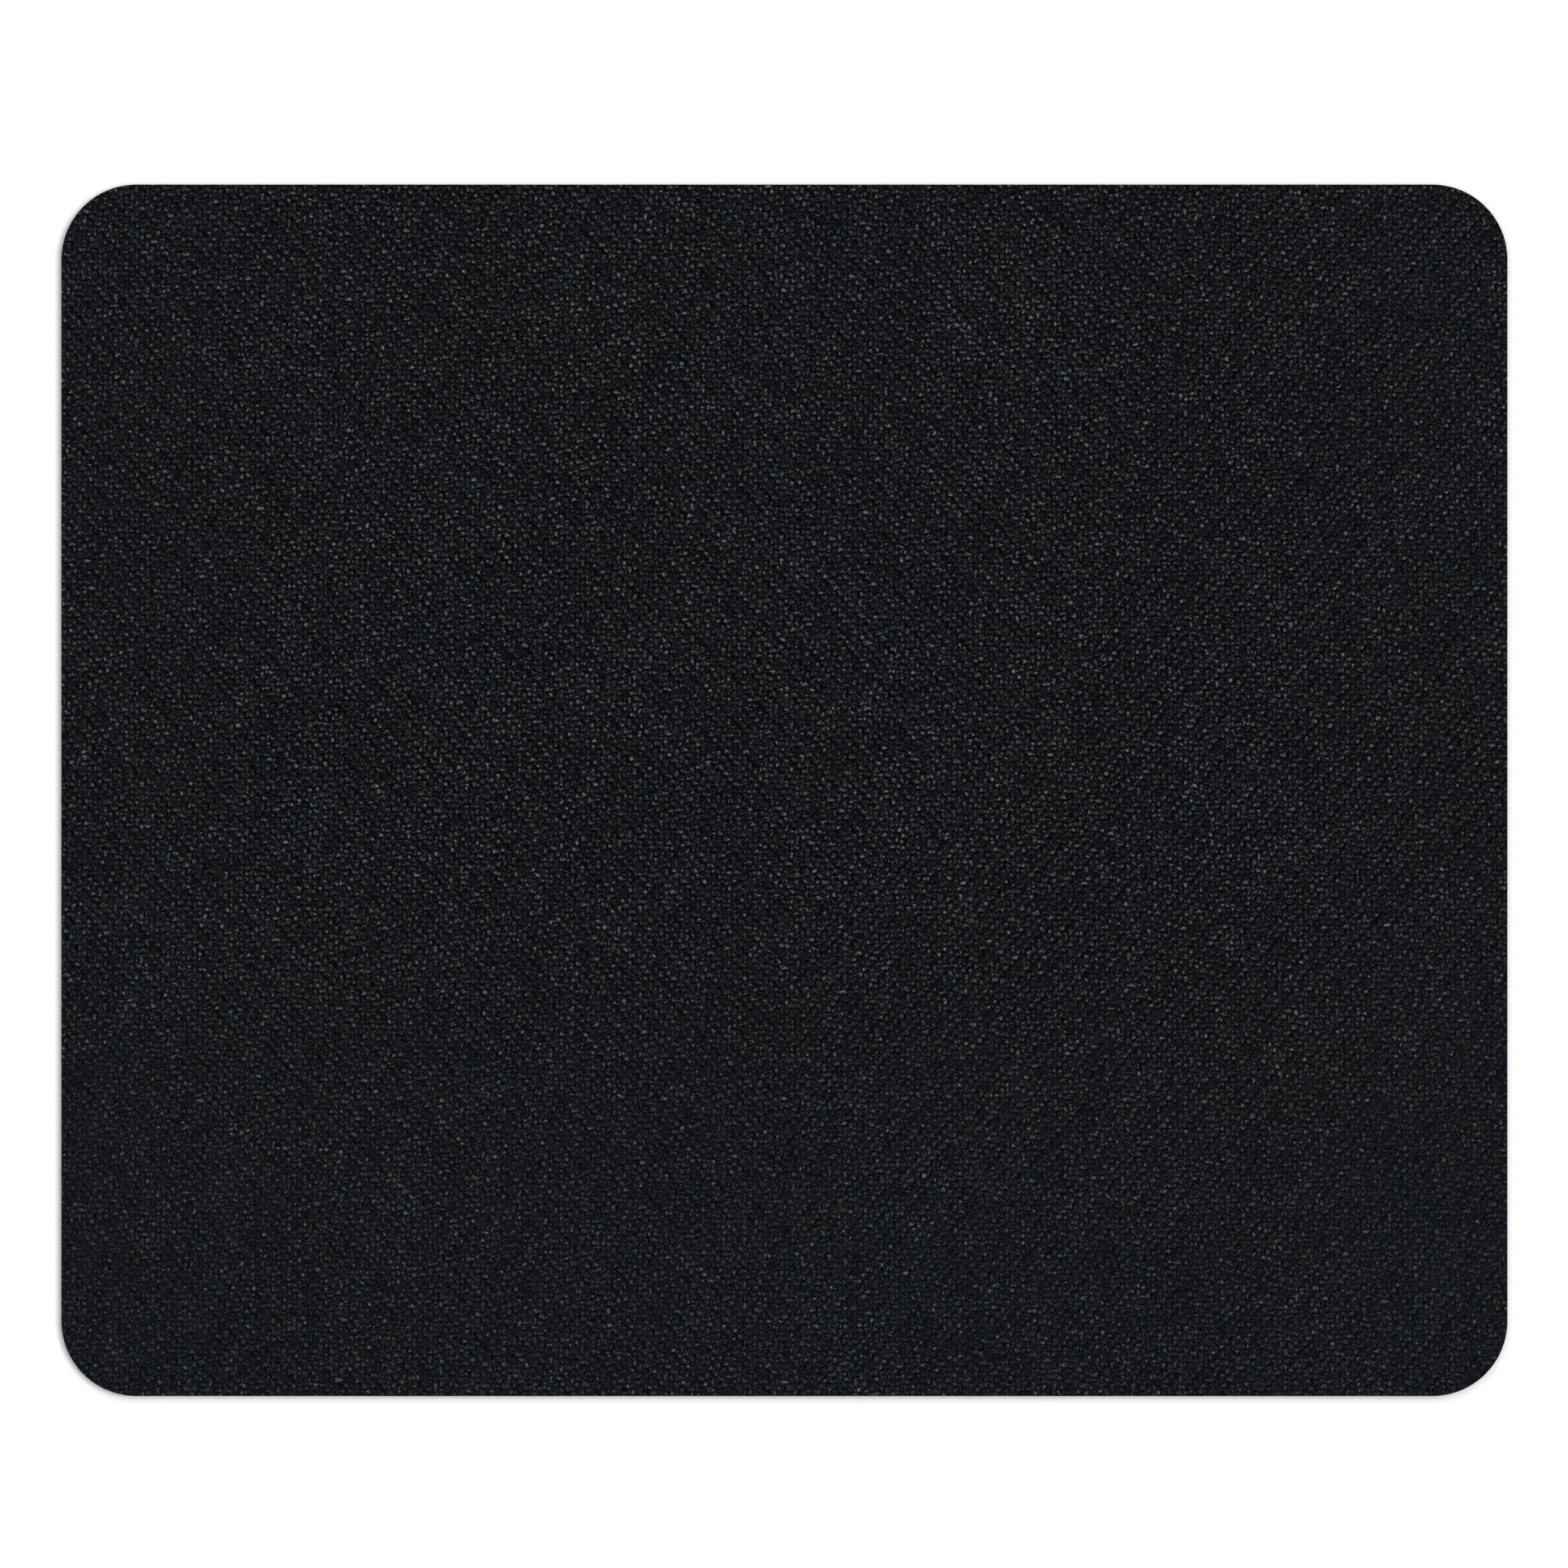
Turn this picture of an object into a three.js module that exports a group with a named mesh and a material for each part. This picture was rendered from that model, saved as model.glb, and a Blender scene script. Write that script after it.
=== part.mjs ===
// Cloth-faced mouse pad: a thin, flexible laminate that lies flat on a desk.
// Four plies are bonded face to face and then cut together by one press stroke of a
// rounded-rectangle die: a moulded rubber grip skin, a sponge rubber core, a hot-melt
// adhesive film and a woven cloth face.
// Millimetres, +Z up. The long side runs along X, and the origin is the centre of the
// underside, where the pad rests on the desk.
import * as THREE from 'three';

// Die outline, shared by every ply
const padLength = 234.95;
const padWidth = 196.85;
const cornerRadius = 12.2;

// Ply thicknesses, from the desk upwards
const gripThickness = 0.35;
const spongeThickness = 2.15;
const filmThickness = 0.1;
const clothThickness = 0.4;

// Shape of the cut edge: the underside's rim is broken by a small chamfer, the squeezed
// sponge springs back hollow, and the blade rolls the cloth's rim down and inwards
const gripRimChamfer = 0.08;
const spongeEdgeHollow = 0.18;
const clothRimRoundInwards = 0.28;
const clothRimRoundDown = 0.24;

// How finely the curves are stepped
const cornerSteps = 24;
const hollowSteps = 8;
const rimSteps = 6;

const quarterTurn = Math.PI / 2;

// The die outline drawn in by an inset, anticlockwise seen from above, as four corner arcs
// whose ends the straight sides join
function outlinePoints(inset) {
  const arcCentreX = padLength / 2 - cornerRadius;
  const arcCentreY = padWidth / 2 - cornerRadius;
  const radius = cornerRadius - inset;
  const cornerSides = [[1, 1], [-1, 1], [-1, -1], [1, -1]];
  return cornerSides.flatMap(([sideX, sideY], corner) => {
    const startAngle = corner * quarterTurn;
    const arc = new THREE.EllipseCurve(
      sideX * arcCentreX,
      sideY * arcCentreY,
      radius,
      radius,
      startAngle,
      startAngle + quarterTurn,
    );
    return arc.getPoints(cornerSteps);
  });
}

// One closed ply. Its edge is a stack of outlines, one for each { inset, height } of the
// profile from bottom to top, and its two faces are flat fans about the centre.
function plyGeometry(profile) {
  const positions = [];
  for (const { inset, height } of profile) {
    for (const point of outlinePoints(inset)) {
      positions.push(point.x, point.y, height);
    }
  }
  const pointsPerRing = positions.length / 3 / profile.length;
  const bottomCentre = profile.length * pointsPerRing;
  const topCentre = bottomCentre + 1;
  positions.push(0, 0, profile[0].height);
  positions.push(0, 0, profile[profile.length - 1].height);

  const indices = [];
  const topRing = bottomCentre - pointsPerRing;
  for (let here = 0; here < pointsPerRing; here += 1) {
    const next = (here + 1) % pointsPerRing;
    indices.push(bottomCentre, next, here);
    indices.push(topCentre, topRing + here, topRing + next);
    for (let ring = 0; ring < profile.length - 1; ring += 1) {
      const lower = ring * pointsPerRing;
      const upper = lower + pointsPerRing;
      indices.push(lower + here, lower + next, upper + next);
      indices.push(lower + here, upper + next, upper + here);
    }
  }

  const geometry = new THREE.BufferGeometry();
  geometry.setAttribute('position', new THREE.Float32BufferAttribute(positions, 3));
  geometry.setIndex(indices);
  geometry.computeVertexNormals();
  return geometry;
}

// Grip skin: dense rubber, flat where it rests, with a chamfered rim at the desk
function gripProfile() {
  return [
    { inset: gripRimChamfer, height: 0 },
    { inset: 0, height: gripRimChamfer },
    { inset: 0, height: gripThickness },
  ];
}

// Sponge core: the cut edge is hollow, deepest at half its height
function spongeProfile() {
  return Array.from({ length: hollowSteps + 1 }, (_, step) => {
    const share = step / hollowSteps;
    return {
      inset: spongeEdgeHollow * Math.sin(Math.PI * share),
      height: spongeThickness * share,
    };
  });
}

// Adhesive film: cut square and flush
function filmProfile() {
  return [
    { inset: 0, height: 0 },
    { inset: 0, height: filmThickness },
  ];
}

// Cloth face: square below, its top rim a quarter ellipse that runs into the flat face
function clothProfile() {
  const rimBottom = clothThickness - clothRimRoundDown;
  const rim = Array.from({ length: rimSteps + 1 }, (_, step) => {
    const angle = quarterTurn * (step / rimSteps);
    return {
      inset: clothRimRoundInwards * (1 - Math.cos(angle)),
      height: rimBottom + clothRimRoundDown * Math.sin(angle),
    };
  });
  return [{ inset: 0, height: 0 }, ...rim];
}

// The plies in the order they are stacked, each with the colour and gloss it shows
const plies = [
  {
    name: 'grip_skin',
    thickness: gripThickness,
    profile: gripProfile(),
    finish: { color: 0x191a1b, roughness: 0.78, metalness: 0 },
  },
  {
    name: 'sponge_core',
    thickness: spongeThickness,
    profile: spongeProfile(),
    finish: { color: 0x1d1e20, roughness: 0.95, metalness: 0 },
  },
  {
    name: 'adhesive_film',
    thickness: filmThickness,
    profile: filmProfile(),
    finish: { color: 0x2b2d2f, roughness: 0.45, metalness: 0 },
  },
  {
    name: 'cloth_face',
    thickness: clothThickness,
    profile: clothProfile(),
    finish: { color: 0x1a1b1e, roughness: 0.88, metalness: 0 },
  },
];

// Laminate: each ply lies on the one below, face to face
const mousePad = new THREE.Group();
let stackHeight = 0;
for (const ply of plies) {
  const material = new THREE.MeshStandardMaterial(ply.finish);
  const mesh = new THREE.Mesh(plyGeometry(ply.profile), material);
  mesh.name = ply.name;
  mesh.position.z = stackHeight;
  mousePad.add(mesh);
  stackHeight += ply.thickness;
}

export default mousePad;
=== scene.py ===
# %% [markdown]
# # A cloth-faced mouse pad
#
# A mouse pad of this kind is a soft sandwich. Woven polyester cloth is glued by a thin
# hot-melt film to a sheet of sponge rubber, the sponge has a dense rubber skin moulded onto
# its underside, and one stroke of a press cuts all four plies to the same round-cornered
# outline. The CAD frame holds those four plies at their real size. This notebook dresses
# them: each ply is modelled again with the shape that shows from close by, and gets its own
# finish made from nodes.

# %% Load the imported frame
import math

import bmesh
import bpy
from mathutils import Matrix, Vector, noise


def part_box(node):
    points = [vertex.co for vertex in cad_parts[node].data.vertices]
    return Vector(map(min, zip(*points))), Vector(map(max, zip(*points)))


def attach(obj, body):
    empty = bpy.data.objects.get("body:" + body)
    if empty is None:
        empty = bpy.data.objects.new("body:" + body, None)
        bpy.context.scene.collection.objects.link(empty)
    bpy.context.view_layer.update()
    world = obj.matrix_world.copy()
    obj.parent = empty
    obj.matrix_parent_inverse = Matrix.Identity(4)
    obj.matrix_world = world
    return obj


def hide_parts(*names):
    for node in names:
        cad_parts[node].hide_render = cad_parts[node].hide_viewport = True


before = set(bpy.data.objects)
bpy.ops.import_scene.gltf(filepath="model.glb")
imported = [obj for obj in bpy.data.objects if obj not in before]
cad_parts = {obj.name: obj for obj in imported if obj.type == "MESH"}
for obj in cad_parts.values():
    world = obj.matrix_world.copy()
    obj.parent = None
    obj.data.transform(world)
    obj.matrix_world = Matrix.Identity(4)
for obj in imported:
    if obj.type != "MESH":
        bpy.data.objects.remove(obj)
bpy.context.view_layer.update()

# %% [markdown]
# ## Sizes
#
# The length, the width and the height of each ply are read from the frame, so nothing here
# is fitted by eye. Only the corner radius has to be said again, because a box doesn't tell
# it. Every shape below is drawn from the same outline, drawn in or out by a fraction of a
# millimetre, so one function gives the place of a point on it.

# %% Read the plies and describe the die outline
mm = 0.001
corner_radius = 12.2 * mm

cloth_low, cloth_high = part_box("cloth_face")
film_low, film_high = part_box("adhesive_film")
sponge_low, sponge_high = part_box("sponge_core")
grip_low, grip_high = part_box("grip_skin")

half_length, half_width = cloth_high.x, cloth_high.y
core_x, core_y = half_length - corner_radius, half_width - corner_radius
straight_x, straight_y = 2 * core_x, 2 * core_y
corner_arc = math.pi / 2 * corner_radius
outline_length = 2 * (straight_x + straight_y) + 4 * corner_arc


def outline_near(x, y, inset):
    """The outline's point nearest to (x, y), drawn in by inset, and the outward direction."""
    core = Vector((max(-core_x, min(core_x, x)), max(-core_y, min(core_y, y))))
    outward = (Vector((x, y)) - core).normalized()
    return core + outward * (corner_radius - inset), outward


def outline_at(distance):
    """The outline's point that far round it, anticlockwise from the right end of the front side."""
    sides = (
        (Vector((core_x, -core_y)), straight_y, 0),
        (Vector((core_x, core_y)), straight_x, 90),
        (Vector((-core_x, core_y)), straight_y, 180),
        (Vector((-core_x, -core_y)), straight_x, 270),
    )
    for centre, straight, heading in sides:
        if distance <= corner_arc:
            angle = math.radians(heading - 90) + distance / corner_radius
            return centre + Vector((math.cos(angle), math.sin(angle))) * corner_radius
        distance -= corner_arc
        if distance <= straight:
            angle = math.radians(heading)
            outward = Vector((math.cos(angle), math.sin(angle)))
            along = Vector((-math.sin(angle), math.cos(angle)))
            return centre + outward * corner_radius + along * distance
        distance -= straight
    return outline_at(0)


print("outline:", round(outline_length / mm, 1), "mm round")

# %% [markdown]
# ## The camera
#
# The photograph is a catalogue picture from straight above. The pad's sides don't show in it,
# and the shadow can be seen right up to the edge on all four sides, so it was taken from far
# off with a long lens. A lens of 400 mm is 2.8 m away and hides only an eighth of a
# millimetre of floor at the ends. The picture is square and takes in just under 255 mm at
# the height of the cloth. The distance follows from that: the sensor is 36 mm wide, and what
# it sees grows in proportion to the distance.

# %% Place the camera
lens_mm = 400
sensor_mm = 36
seen_width = 254.75 * mm
aim = Vector((-0.07 * mm, 1.02 * mm))

distance = seen_width * lens_mm / sensor_mm
bpy.ops.object.camera_add(location=(aim.x, aim.y, cloth_high.z + distance))
camera = bpy.context.object
camera.name = "camera"
camera.data.lens = lens_mm
camera.data.sensor_width = sensor_mm
bpy.context.scene.camera = camera
print("camera:", round(distance, 3), "m above the cloth")

# %% [markdown]
# ## Light and floor
#
# The shadow in the photograph is narrow and soft. It reaches about 2 mm out on the left and
# in front, and less than 1 mm on the right and at the back, and it fades in two steps. Two
# broad lamps almost straight above give that: one leans to the right, the other, broader,
# leans to the back. Sun lamps with a wide angle light the whole floor evenly. The rest is a
# weak, even light from all round. Together they light a level surface at strength 1, where
# a colour renders about as it is written.

# %% Add the lamps
right_share, back_share = 0.40, 0.56
lamp_share = right_share + back_share


def add_lamp(name, share, angle, lean_right, lean_back):
    """A sun lamp that gives a level floor its share of the light. Leans are in degrees."""
    bpy.ops.object.light_add(type="SUN", location=(lean_right / 50, lean_back / 50, 1.6))
    lamp = bpy.context.object
    lamp.name = name
    lamp.data.angle = math.radians(angle)
    to_lamp = Vector((math.tan(math.radians(lean_right)), math.tan(math.radians(lean_back)), 1))
    lamp.rotation_euler = to_lamp.to_track_quat("Z", "Y").to_euler()
    lamp.data.energy = math.pi * share / to_lamp.normalized().z


add_lamp("right_diffuser", right_share, 22, 14.2, 2.4)
add_lamp("back_diffuser", back_share, 47, 1.0, 7.4)

# %% [markdown]
# The world gives the weak even light. To the camera it is plain white, as a studio sweep
# is, and mirror-like and clear surfaces see the same white. A Light Path node tells these
# rays from the ones that carry light to the pad, so the white background adds no light. The
# floor is a plain sheet of white paper, which keeps the pad's shadow. It is lifted by a
# hundredth in the same rays, so that it comes out fully white away from the shadow.

# %% Make the world and the floor
def seen_directly(tree):
    """1 for what the camera sees straight, mirrored or through glass, and 0 for stray light."""
    path = tree.nodes.new("ShaderNodeLightPath")
    seen = path.outputs["Is Camera Ray"]
    for ray in ("Is Glossy Ray", "Is Transmission Ray"):
        either = tree.nodes.new("ShaderNodeMath")
        either.operation = "MAXIMUM"
        tree.links.new(seen, either.inputs[0])
        tree.links.new(path.outputs[ray], either.inputs[1])
        seen = either.outputs[0]
    return seen


world = bpy.data.worlds.new("white_studio")
bpy.context.scene.world = world
world.use_nodes = True
tree = world.node_tree
tree.nodes.clear()
stray = tree.nodes.new("ShaderNodeBackground")
stray.inputs["Strength"].default_value = 1 - lamp_share
white = tree.nodes.new("ShaderNodeBackground")
white.inputs["Strength"].default_value = 1
stray.inputs["Color"].default_value = white.inputs["Color"].default_value = (1, 1, 1, 1)
choose = tree.nodes.new("ShaderNodeMixShader")
output = tree.nodes.new("ShaderNodeOutputWorld")
tree.links.new(seen_directly(tree), choose.inputs["Fac"])
tree.links.new(stray.outputs[0], choose.inputs[1])
tree.links.new(white.outputs[0], choose.inputs[2])
tree.links.new(choose.outputs[0], output.inputs["Surface"])

floor_size = 12
floor_lift = 0.012
bpy.ops.mesh.primitive_plane_add(size=floor_size)
floor = bpy.context.object
floor.name = "floor"

paper = bpy.data.materials.new("white_paper")
paper.use_nodes = True
tree = paper.node_tree
tree.nodes.clear()
sheet = tree.nodes.new("ShaderNodeBsdfDiffuse")
sheet.inputs["Color"].default_value = (1, 1, 1, 1)
lift = tree.nodes.new("ShaderNodeEmission")
lift_strength = tree.nodes.new("ShaderNodeMath")
lift_strength.operation = "MULTIPLY"
lift_strength.inputs[1].default_value = floor_lift
both = tree.nodes.new("ShaderNodeAddShader")
output = tree.nodes.new("ShaderNodeOutputMaterial")
tree.links.new(seen_directly(tree), lift_strength.inputs[0])
tree.links.new(lift_strength.outputs[0], lift.inputs["Strength"])
tree.links.new(sheet.outputs[0], both.inputs[0])
tree.links.new(lift.outputs[0], both.inputs[1])
tree.links.new(both.outputs[0], output.inputs["Surface"])
floor.data.materials.append(paper)
bpy.context.scene.view_settings.view_transform = "Standard"
print("light: lamps", round(lamp_share, 2), "world", round(1 - lamp_share, 2))

# %% [markdown]
# ## Tools for the bench
#
# A few small helpers keep the modelling cells short. Everything is deselected before a new
# primitive, because the frame's nodes come in selected and an operator acts on all that is
# selected. The primitive is then taken up: it gets its name, and its size and place go into
# its mesh. Its rim is shaped later, by putting the selected vertices on the outline.

# %% Modelling helpers
def fresh_start():
    """Leaves nothing selected, so that the next operator touches only its own object."""
    if bpy.context.object and bpy.context.object.mode != "OBJECT":
        bpy.ops.object.mode_set(mode="OBJECT")
    bpy.ops.object.select_all(action="DESELECT")


def take_up(name):
    """Names the object just made and sets its size and place into its mesh."""
    piece = bpy.context.object
    piece.name = piece.data.name = name
    bpy.ops.object.transform_apply(location=True, rotation=True, scale=True)
    return piece


def selected_vertices(piece):
    return [vertex for vertex in bmesh.from_edit_mesh(piece.data).verts if vertex.select]


def move_rim(piece, inset, height, waver=None):
    """Puts the selected vertices on the outline drawn in by inset, at a height."""
    for vertex in selected_vertices(piece):
        place, outward = outline_near(vertex.co.x, vertex.co.y, inset)
        out, up = waver(place, outward) if waver else (0, 0)
        place = place + outward * out
        vertex.co = (place.x, place.y, height + up)
    bmesh.update_edit_mesh(piece.data)


def triangles(piece):
    piece.data.calc_loop_triangles()
    return len(piece.data.loop_triangles)


# %% [markdown]
# ## The cloth's weave
#
# The cloth is a 2/2 twill: each yarn passes over two and under two, one step further along
# on every row, which draws slanting ribs. In the photograph 276 warp yarns fit the length
# and 222 weft yarns fit the width. The weft doesn't run quite square but dips 2.4 degrees to
# the right. The ribs lean one way on most of the pad and the other way on its right part, so
# the turn is stored on the mesh, where the relief and the colour both read it.

# %% Measure the weave
warp_count, weft_count = 276, 222
warp_pitch = 2 * half_length / warp_count
weft_pitch = 2 * half_width / weft_count
weft_dip = 0.041
rib_height = 0.022 * mm


def turn_line(y):
    """How far to the right the ribs turn round, at a place across the pad."""
    rise = max(0.0, min(1.0, (y + 26 * mm) / (36 * mm)))
    smooth = rise * rise * (3 - 2 * rise)
    return (1 + 45 * smooth) * mm + 0.28 * max(0.0, y - 10 * mm)


def rib_turn(x, y):
    """From -1 well to the left of the turn to 1 well to the right of it."""
    half_band = 6 * mm
    return max(-1.0, min(1.0, (x - turn_line(y)) / half_band))


print("yarns:", round(warp_pitch / mm, 3), "by", round(weft_pitch / mm, 3), "mm apart")

# %% [markdown]
# ## The cloth as a sheet
#
# The sheet starts as a grid with one vertex for each crossing of two yarns, about 61 000.
# That is enough for the ribs to be real shape, while the single yarns, half a millimetre
# wide, stay in the finish. A grid has square corners, so the vertices there are drawn in:
# each square ring about the corner's centre becomes a round one.

# %% Lay out the grid
rim_inwards = 0.14 * mm
rim_down = 0.18 * mm

fresh_start()
bpy.ops.mesh.primitive_grid_add(
    x_subdivisions=warp_count,
    y_subdivisions=weft_count,
    size=1,
    location=(0, 0, cloth_high.z),
)
bpy.context.object.scale = (2 * (half_length - rim_inwards), 2 * (half_width - rim_inwards), 1)
cloth = take_up("cloth")

flat_radius = corner_radius - rim_inwards
for vertex in cloth.data.vertices:
    beyond_x = (abs(vertex.co.x) - core_x) / flat_radius
    beyond_y = (abs(vertex.co.y) - core_y) / flat_radius
    if beyond_x > 0 and beyond_y > 0:
        draw_in = max(beyond_x, beyond_y) / math.hypot(beyond_x, beyond_y)
        vertex.co.x = math.copysign(core_x + beyond_x * draw_in * flat_radius, vertex.co.x)
        vertex.co.y = math.copysign(core_y + beyond_y * draw_in * flat_radius, vertex.co.y)
print("cloth grid:", len(cloth.data.vertices), "crossings")

# %% [markdown]
# ## The cut rim
#
# The blade rolls the cloth's rim down and leaves the cut yarns as a row of tiny blunt ends.
# The grid's border is divided in four at each yarn, so that there are vertices enough for
# an end, and is then extruded row by row round a quarter circle and down to the glue. Each
# row is pushed out where a yarn ends and held back between two. Yarns that go over their
# last neighbour end a little higher than those that go under.

# %% Roll and cut the rim
end_bulge = 0.012 * mm
end_lift = 0.02 * mm
end_bluntness = 0.7
frayed_size, frayed_depth = 1.1 * mm, 0.01 * mm


def yarn_ends(place, outward):
    """How far a point of the rim stands out and up, for the yarn that ends there."""
    warp, weft = place.x / warp_pitch, place.y / weft_pitch + weft_dip * place.x / warp_pitch
    out = up = 0
    for yarn, share in ((warp, outward.y**2), (weft, outward.x**2)):
        crown = math.sin(math.pi * (yarn % 1)) ** end_bluntness
        over = math.cos(math.pi / 2 * (math.floor(yarn) - 0.5))
        out += share * (crown - 0.6) * end_bulge
        up += share * over * crown * end_lift
    frayed = noise.noise(Vector((place.x, place.y, 0)) / frayed_size)
    return out + frayed * frayed_depth, up


bpy.ops.object.mode_set(mode="EDIT")
bpy.ops.mesh.select_mode(type="EDGE")
bpy.ops.mesh.select_all(action="DESELECT")
bpy.ops.mesh.select_non_manifold()
bpy.ops.mesh.subdivide(number_cuts=3)

rim_steps = 4
for step in range(1, rim_steps + 1):
    angle = math.pi / 2 * step / rim_steps
    inset = rim_inwards * (1 - math.sin(angle))
    height = cloth_high.z - rim_down * (1 - math.cos(angle))
    bpy.ops.mesh.extrude_region()
    strength = step / rim_steps
    move_rim(
        cloth,
        inset,
        height,
        lambda place, outward: [strength * move for move in yarn_ends(place, outward)],
    )
bpy.ops.mesh.extrude_region()
move_rim(cloth, 0.03 * mm, cloth_low.z)
bpy.ops.mesh.edge_face_add()
bpy.ops.mesh.select_all(action="SELECT")
bpy.ops.mesh.normals_make_consistent(inside=False)
bpy.ops.object.mode_set(mode="OBJECT")
print("cloth:", triangles(cloth), "triangles")

# %% [markdown]
# ## Ribs in the relief
#
# A twill rib is a wave across the slant, four yarns from crest to crest. Its height fades
# out at the rim, where the die has pressed the cloth flat. The sheet also isn't perfectly
# level: rubber and cloth were laminated from rolls, so it swells and dips by a few hundredths
# of a millimetre over a few centimetres.

# %% Raise the ribs and store their turn
turn = cloth.data.attributes.new("rib_turn", "FLOAT", "POINT")
swell_size, swell_height = 35 * mm, 0.03 * mm
pressed_rim = 2 * mm
for vertex in cloth.data.vertices:
    x, y, z = vertex.co
    lean = rib_turn(x, y)
    turn.data[vertex.index].value = lean
    if z < cloth_high.z - 0.001 * mm:
        continue
    edge, _ = outline_near(x, y, 0)
    inland = min(half_length - abs(x), half_width - abs(y), (edge - Vector((x, y))).length)
    fade = max(0.0, min(1.0, (inland - rim_inwards) / pressed_rim))
    side = -1 if lean > 0 else 1
    warp = side * x / warp_pitch
    weft = y / weft_pitch + weft_dip * warp
    rib = math.cos(math.pi / 2 * (warp + weft - 1.5))
    swell = noise.noise(Vector((x, y, 0)) / swell_size)
    vertex.co.z += fade * (rib_height * (rib * min(1, abs(lean) * 2) - 1) + swell_height * swell)

bpy.ops.object.shade_smooth_by_angle(angle=math.radians(50))
print("cloth relief:", round(2 * rib_height / mm, 3), "mm from crest to valley")

# %% [markdown]
# ## Arithmetic for materials
#
# The weave's finish is worked out from a place on the cloth: which yarn is on top there,
# how far along its float, how deep in the gap beside it. Node trees do such sums with Math
# nodes, but dozens of them are hard to read. This small class adds a Math node for each
# piece of plain arithmetic, so that the cells below read like the sums they build.

# %% A number in a node tree
def join(value, socket):
    """Plugs a number from a node into a socket, or sets the socket to a plain value."""
    if isinstance(value, Number):
        socket.id_data.links.new(value.socket, socket)
    else:
        socket.default_value = value


class Number:
    """A number that a node gives. Arithmetic on it adds Math nodes to the same tree."""

    def __init__(self, socket):
        self.socket = socket

    def math(self, operation, *others):
        node = self.socket.id_data.nodes.new("ShaderNodeMath")
        node.operation = operation
        for value, slot in zip((self, *others), node.inputs):
            join(value, slot)
        return Number(node.outputs["Value"])

    def __add__(self, other):
        return self.math("ADD", other)

    def __sub__(self, other):
        return self.math("SUBTRACT", other)

    def __mul__(self, other):
        return self.math("MULTIPLY", other)

    def __truediv__(self, other):
        return self.math("DIVIDE", other)

    def __neg__(self):
        return self.math("MULTIPLY", -1)

    def floor(self):
        return self.math("FLOOR")

    def wrapped(self):
        """The same number brought between -2 and 2, as the weave repeats every four yarns."""
        return self.math("WRAP", 2, -2)

    def squared(self):
        return self.math("MULTIPLY", self)

    def above(self, other):
        return self.math("GREATER_THAN", other)

    def ranged(self, low, high, to_low=0, to_high=1):
        """Maps low to high onto the other range, held at its ends."""
        node = self.socket.id_data.nodes.new("ShaderNodeMapRange")
        node.interpolation_type = "SMOOTHSTEP"
        for value, name in zip(
            (self, low, high, to_low, to_high),
            ("Value", "From Min", "From Max", "To Min", "To Max"),
        ):
            join(value, node.inputs[name])
        return Number(node.outputs["Result"])


def bell(*offsets):
    """1 where every offset is 0, falling off to 0 past 1 on a smooth curve."""
    total = offsets[0].squared()
    for offset in offsets[1:]:
        total = total + offset.squared()
    return (-total).math("EXPONENT")


def pick(chance, when_one, when_zero):
    """when_one where chance is 1 and when_zero where it is 0."""
    return when_zero + (when_one - when_zero) * chance


def new_material(name):
    """An empty material and its node tree."""
    material = bpy.data.materials.new(name)
    material.use_nodes = True
    material.node_tree.nodes.clear()
    return material, material.node_tree


def noise_at(tree, place, size, detail=0, roughness=0.5, offset=None):
    """Smooth noise about 0, from about -0.5 to 0.5, in lumps of one size in metres."""
    node = tree.nodes.new("ShaderNodeTexNoise")
    node.inputs["Scale"].default_value = 1 / size
    node.inputs["Detail"].default_value = detail
    node.inputs["Roughness"].default_value = roughness
    if offset:
        moved = tree.nodes.new("ShaderNodeMapping")
        moved.inputs["Location"].default_value = [offset * mm] * 3
        tree.links.new(place, moved.inputs["Vector"])
        place = moved.outputs["Vector"]
    tree.links.new(place, node.inputs["Vector"])
    return Number(node.outputs["Fac"]) - 0.5


# %% [markdown]
# ## One yarn over another
#
# Modelled yarn by yarn, the cloth would take millions of faces, and a small tile that repeats
# would show as a pattern. So the weave is worked out in nodes, where every yarn can differ.
# This node group is the weave itself. Across counts warp yarns to the right and Along counts weft
# yarns away from the viewer, so whole numbers are the gaps between yarns. Where a yarn is on top it
# shows a float, a plate two yarns long. In the photograph the floats aren't rectangles: each is widest
# where it comes up and tapers to where it dives under, the warp floats towards the front and the weft
# floats to the right. Each float is painted brighter towards one end and one side, as a lamp to one
# side would make it. Between the plates lies the gap, painted dark as shade, and this painted shade is
# darkest in four places: below the wide end of a weft float, right of the wide end of a warp float,
# and just past the thin end of each.
#
# A yarn is a loose bundle of filaments, and as they turn they catch the light in short light and dark
# bands that cross the yarn. These bands are painted light and shade in the colour, and they also raise
# the bump. No two floats have the same bands. They are a noise that runs along the yarn and starts
# anew for each yarn.

# %% Choose how the weave is drawn
warp_float = dict(
    shift=-0.15,
    half_width=0.33,
    taper=0.10,
    lean=0.05,
    soft_side=0.5,
    half_length=0.79,
    middle=-0.09,
    soft_end=0.45,
)
# Painted light: each float is lighter or darker as a whole, and brighter towards one end and one side,
# as a lamp to one side would make it.
warp_painted_light = dict(level=-0.11, along=0.12, aside=0.76)
weft_float = dict(
    shift=0.085,
    half_width=0.33,
    taper=-0.20,
    lean=0.10,
    soft_side=0.6,
    half_length=1.0,
    middle=-0.14,
    soft_end=0.4,
)
weft_painted_light = dict(level=0.27, along=0.60, aside=0.46)
# The gap between floats is painted dark as shade, and each of the next four adds a spot of painted
# shade beside a float.
gap_shade = 0.9
below_weft = dict(depth=1.47, aside=0, way=-0.24, half_width=0.17, half_length=0.4)
right_of_warp = dict(depth=1.49, aside=1.1, way=0.41, half_width=0.17, half_length=0.45)
past_warp_end = dict(depth=1.46, aside=0.5, way=-1.19, half_width=0.3, half_length=0.2)
past_weft_end = dict(depth=0.98, aside=0.4, way=1.13, half_width=0.3, half_length=0.2)
band_size = 0.40 * mm


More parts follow.
